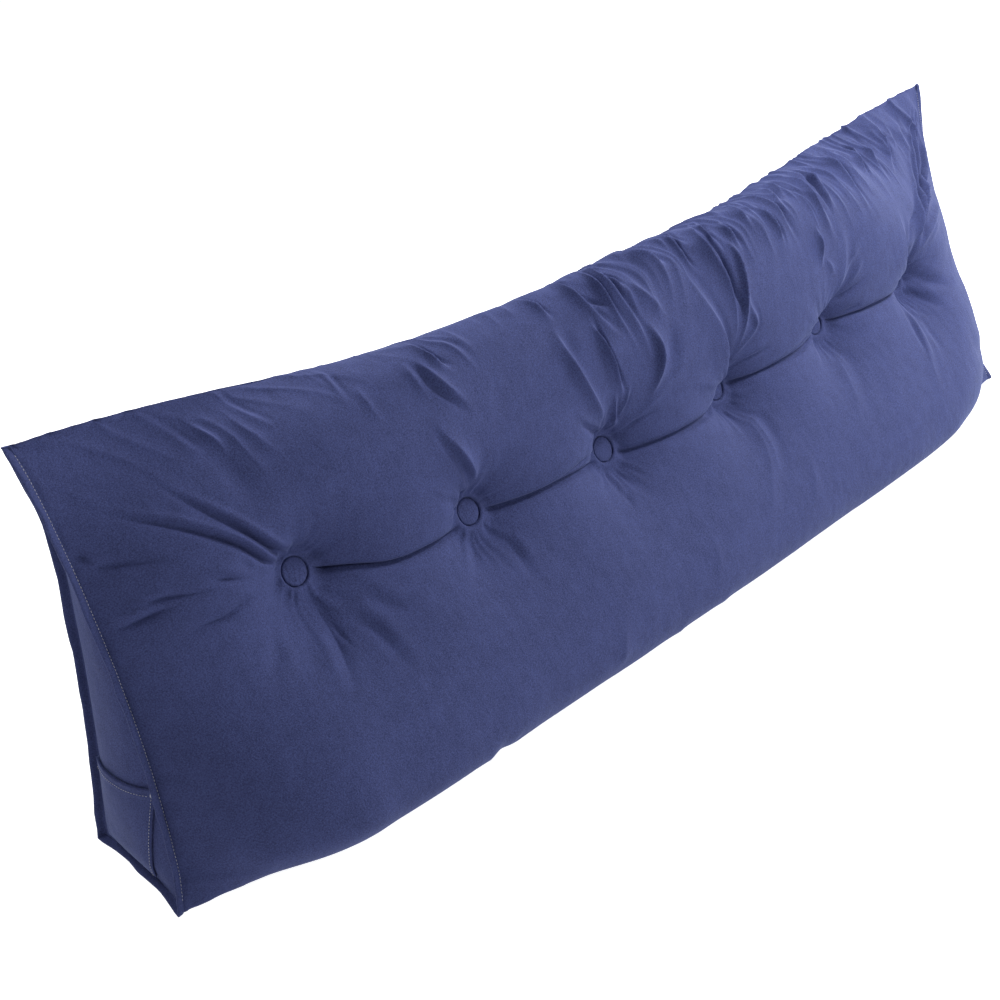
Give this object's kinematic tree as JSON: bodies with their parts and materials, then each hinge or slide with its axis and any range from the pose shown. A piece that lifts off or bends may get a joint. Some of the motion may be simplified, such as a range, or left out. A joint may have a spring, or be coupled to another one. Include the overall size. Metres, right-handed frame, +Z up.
{
  "type": "wedge headboard pillow",
  "caption": "Long filled wedge cushion that leans on a headboard or wall, with a tufted slanted front, stitched end lips and a patch pocket on one end.",
  "frame": {"origin": "on the floor, below the middle of the bounding box", "axes": "+X along the length towards the end with no pocket, +Y back towards the headboard, +Z up; the tufted front faces -Y"},
  "size_m": [1.8174, 0.3146, 0.4999],
  "materials": {
    "cloth": "matt brushed cotton in navy blue",
    "thread": "matt sewing thread in pale grey"
  },
  "bodies": {
    "root": {"pillow_body": "cloth", "button_1": "cloth", "button_2": "cloth", "button_3": "cloth", "button_4": "cloth", "button_5": "cloth", "button_6": "cloth", "pocket_left": "cloth"}
  },
  "joints": []
}
